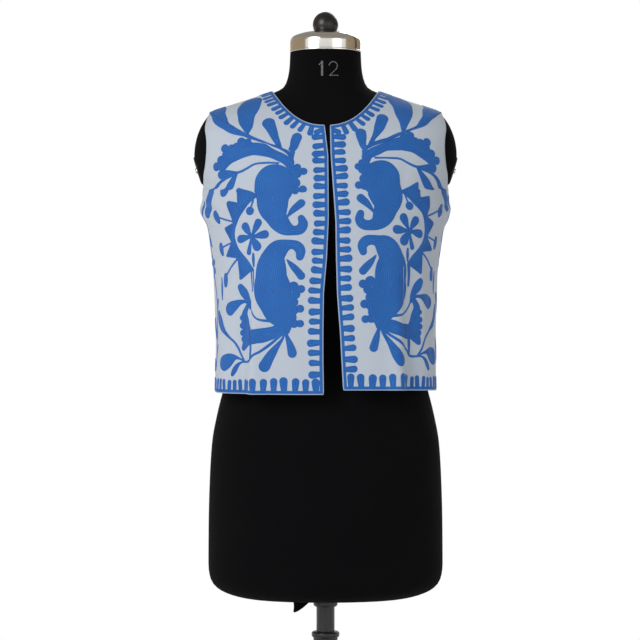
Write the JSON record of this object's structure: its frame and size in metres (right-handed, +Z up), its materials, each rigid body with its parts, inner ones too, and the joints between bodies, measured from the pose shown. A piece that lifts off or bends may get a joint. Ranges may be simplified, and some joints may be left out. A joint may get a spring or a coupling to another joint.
{
  "type": "suzani vest on a limbless dress form",
  "caption": "Sleeveless open-fronted waist-length vest in pale cotton with blue chain-stitch flowers and paisleys, worn by a black limbless dress form on a pole stand.",
  "frame": {"origin": "on the floor under the middle of the stand's disc", "axes": "+Z up, the vest's open front towards -Y, the wearer's left towards +X"},
  "size_m": [0.4368, 0.38, 1.54],
  "materials": {
    "cotton": "matt plain-weave cotton",
    "embroidery": "rows of blue chain stitch",
    "edge_cord": "thin rolled edge",
    "black_jersey": "matt black stretch jersey",
    "size_print": "pale dotted print",
    "plated_metal": "polished plating",
    "black_gloss": "glossy black",
    "dark_steel": "dark satin steel",
    "painted_iron": "black powder coat"
  },
  "bodies": {
    "stand": {"base_disc": "painted_iron", "base_hub": "painted_iron", "stand_tube": "dark_steel", "clamp_collar": "dark_steel"},
    "inner_pole": {"pole": "dark_steel"},
    "dressed_form": {"pole_socket": "dark_steel", "form_torso": "black_jersey", "cover_tab": "black_jersey", "arm_plate_left": "dark_steel", "arm_plate_right": "dark_steel", "arm_screw_left": "plated_metal", "arm_screw_right": "plated_metal", "neck_cap": "plated_metal", "knob": "black_gloss", "front_left": "cotton", "front_right": "cotton", "back": "cotton", "edge_piping": "edge_cord"}
  },
  "joints": [
    {"name": "height_slide", "type": "slide", "parent": "stand", "child": "inner_pole", "axis": [0, 0, 1], "range_m": [-0.03, 0.25]},
    {"name": "form_swivel", "type": "hinge", "parent": "inner_pole", "child": "dressed_form", "pos_m": [0, 0, 0.573], "axis": [0, 0, 1], "continuous": true}
  ]
}
